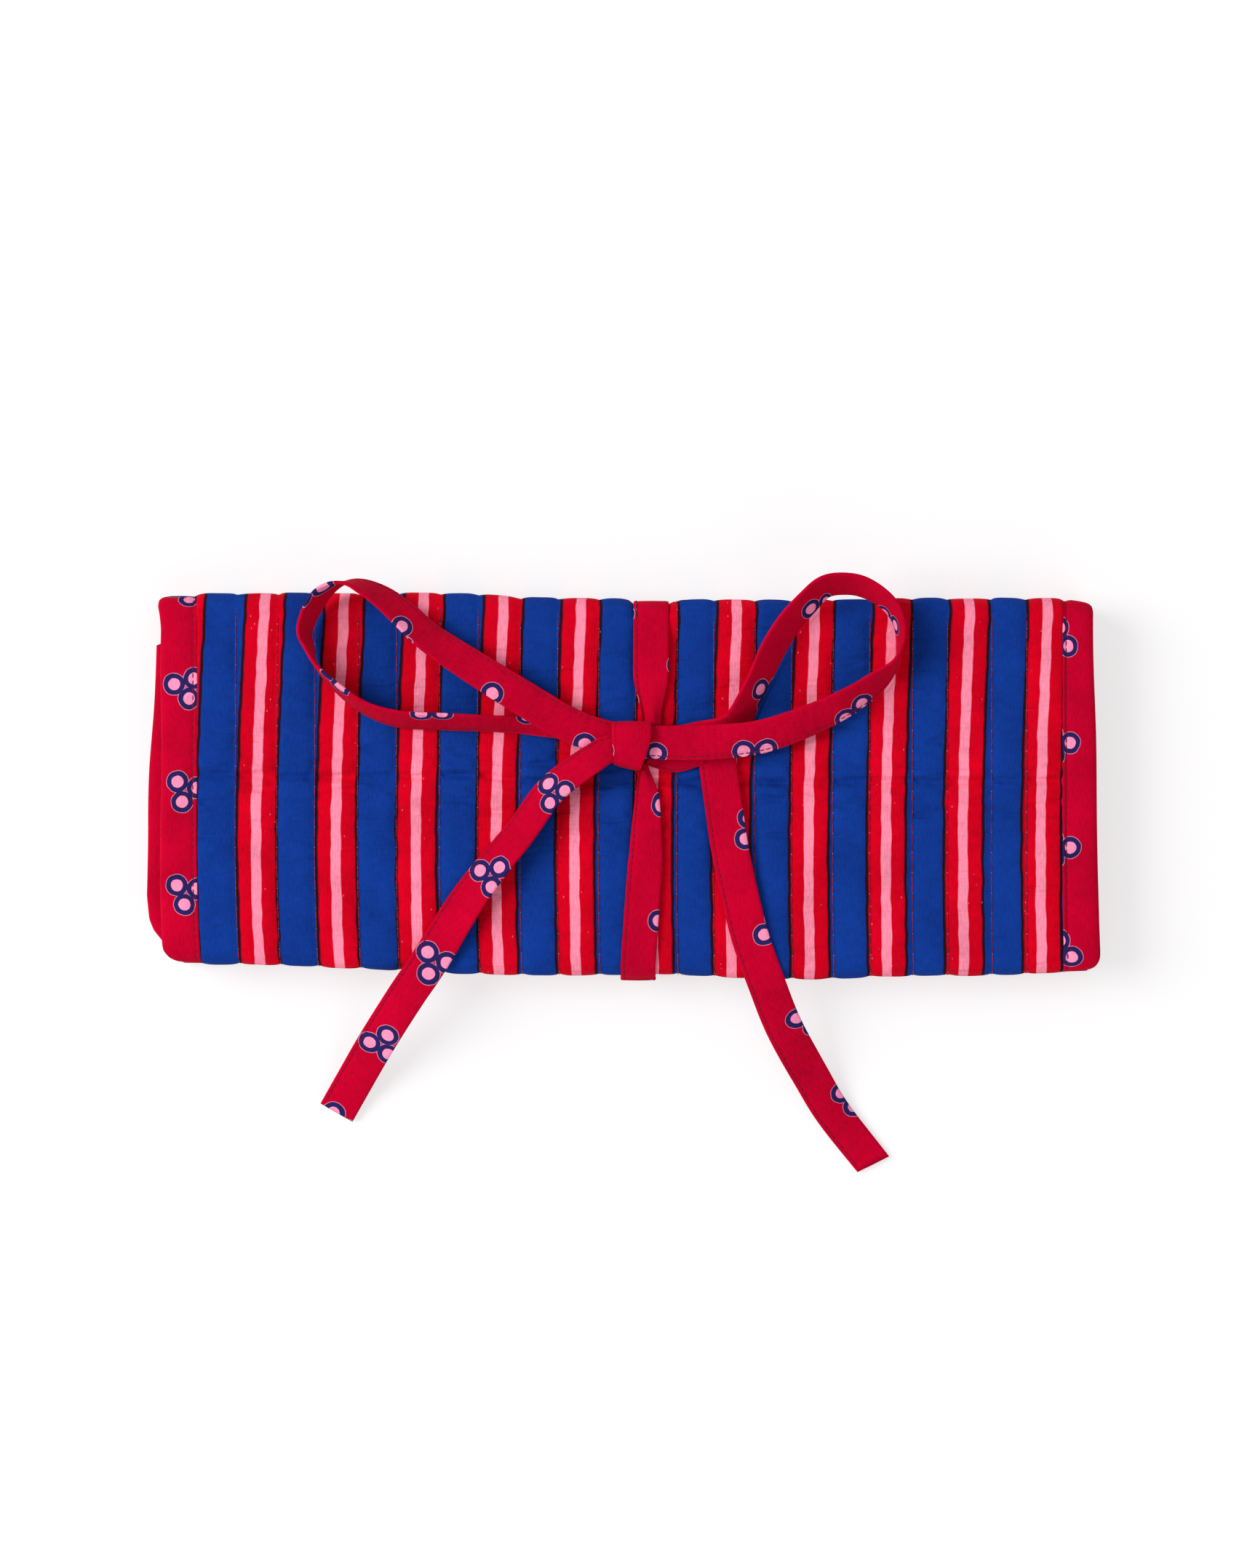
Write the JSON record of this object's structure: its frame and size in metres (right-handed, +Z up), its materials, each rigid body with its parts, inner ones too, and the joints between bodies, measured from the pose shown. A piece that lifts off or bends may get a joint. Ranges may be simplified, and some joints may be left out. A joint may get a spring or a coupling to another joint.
{
  "type": "jewelry roll",
  "caption": "Quilted fabric jewelry roll that folds shut round zip pockets and a ring bar and is tied with a tape bow.",
  "frame": {"origin": "centre of the closed roll's footprint on the table, at the underside of the back panel", "axes": "+X along the roll's length, +Y towards the fold, +Z up from the table to the front panel and its bow"},
  "size_m": [0.2806, 0.1782, 0.0317],
  "materials": {
    "striped_cotton": "woven cotton, quilted",
    "red_cotton": "woven cotton with a dot print",
    "lining_cotton": "plain woven cotton",
    "wadding": "soft fibre sheet",
    "brass": "polished"
  },
  "bodies": {
    "back": {"back_cover": "striped_cotton", "back_wadding": "wadding", "back_lining": "lining_cotton", "back_end_binding": "red_cotton", "back_left_binding": "red_cotton", "back_right_binding": "red_cotton", "back_pocket_panel": "lining_cotton", "back_pocket_strip": "lining_cotton", "back_zip_tape_lower": "red_cotton", "back_zip_tape_upper": "red_cotton", "back_zip_chain": "brass", "snap_socket": "brass", "tie_back_strand": "red_cotton"},
    "top_fold": {"top_fold_quilt": "striped_cotton", "top_fold_left_binding": "red_cotton", "top_fold_right_binding": "red_cotton", "tie_top_strand": "red_cotton"},
    "front": {"front_cover": "striped_cotton", "front_wadding": "wadding", "front_lining": "lining_cotton", "front_left_binding": "red_cotton", "front_right_binding": "red_cotton", "hem_fold_quilt": "striped_cotton", "hem_fold_left_binding": "red_cotton", "hem_fold_right_binding": "red_cotton", "slip_pocket_quilt": "striped_cotton", "slip_pocket_left_binding": "red_cotton", "slip_pocket_right_binding": "red_cotton", "slip_pocket_mouth_binding": "red_cotton", "front_pocket_panel": "lining_cotton", "front_pocket_strip": "lining_cotton", "front_zip_tape_lower": "red_cotton", "front_zip_tape_upper": "red_cotton", "front_zip_chain": "brass", "tie_upper_strand": "red_cotton", "tie_lower_strand": "red_cotton", "tie_knot": "red_cotton", "tie_tuck": "red_cotton", "tie_left_loop": "red_cotton", "tie_right_loop": "red_cotton", "tie_left_tail": "red_cotton", "tie_right_tail": "red_cotton"},
    "ring_bar": {"ring_bar": "red_cotton", "snap_stud": "brass", "snap_cap": "brass"},
    "back_slider": {"back_zip_slider": "brass"},
    "back_pull": {"back_zip_pull": "brass"},
    "front_slider": {"front_zip_slider": "brass"},
    "front_pull": {"front_zip_pull": "brass"}
  },
  "joints": [
    {"name": "fold_lower", "type": "hinge", "parent": "back", "child": "top_fold", "pos_m": [0, 0.05471, 0.00129], "axis": [-1, 0, 0], "range_deg": [0, 90]},
    {"name": "fold_upper", "type": "hinge", "parent": "top_fold", "child": "front", "pos_m": [0, 0.05471, 0.01886], "axis": [-1, 0, 0], "range_deg": [0, 90]},
    {"name": "ring_bar_swing", "type": "hinge", "parent": "back", "child": "ring_bar", "pos_m": [-0.0867, -0.0424, 0.00455], "axis": [0, -1, 0], "range_deg": [0, 90]},
    {"name": "back_zip_slide", "type": "slide", "parent": "back", "child": "back_slider", "axis": [-1, 0, 0], "range_m": [0, 0.18]},
    {"name": "back_pull_tilt", "type": "hinge", "parent": "back_slider", "child": "back_pull", "pos_m": [0.0933, 0.012, 0.0093], "axis": [0, 1, 0], "range_deg": [0, 20]},
    {"name": "front_zip_slide", "type": "slide", "parent": "front", "child": "front_slider", "axis": [-1, 0, 0], "range_m": [0, 0.18]},
    {"name": "front_pull_tilt", "type": "hinge", "parent": "front_slider", "child": "front_pull", "pos_m": [0.0933, 0.031, 0.01085], "axis": [0, -1, 0], "range_deg": [0, 20]}
  ],
  "couplings": [
    {"joint": "fold_upper", "follows": "fold_lower", "ratio": 1},
    {"joint": "ring_bar_swing", "follows": "fold_lower", "ratio": 1}
  ]
}
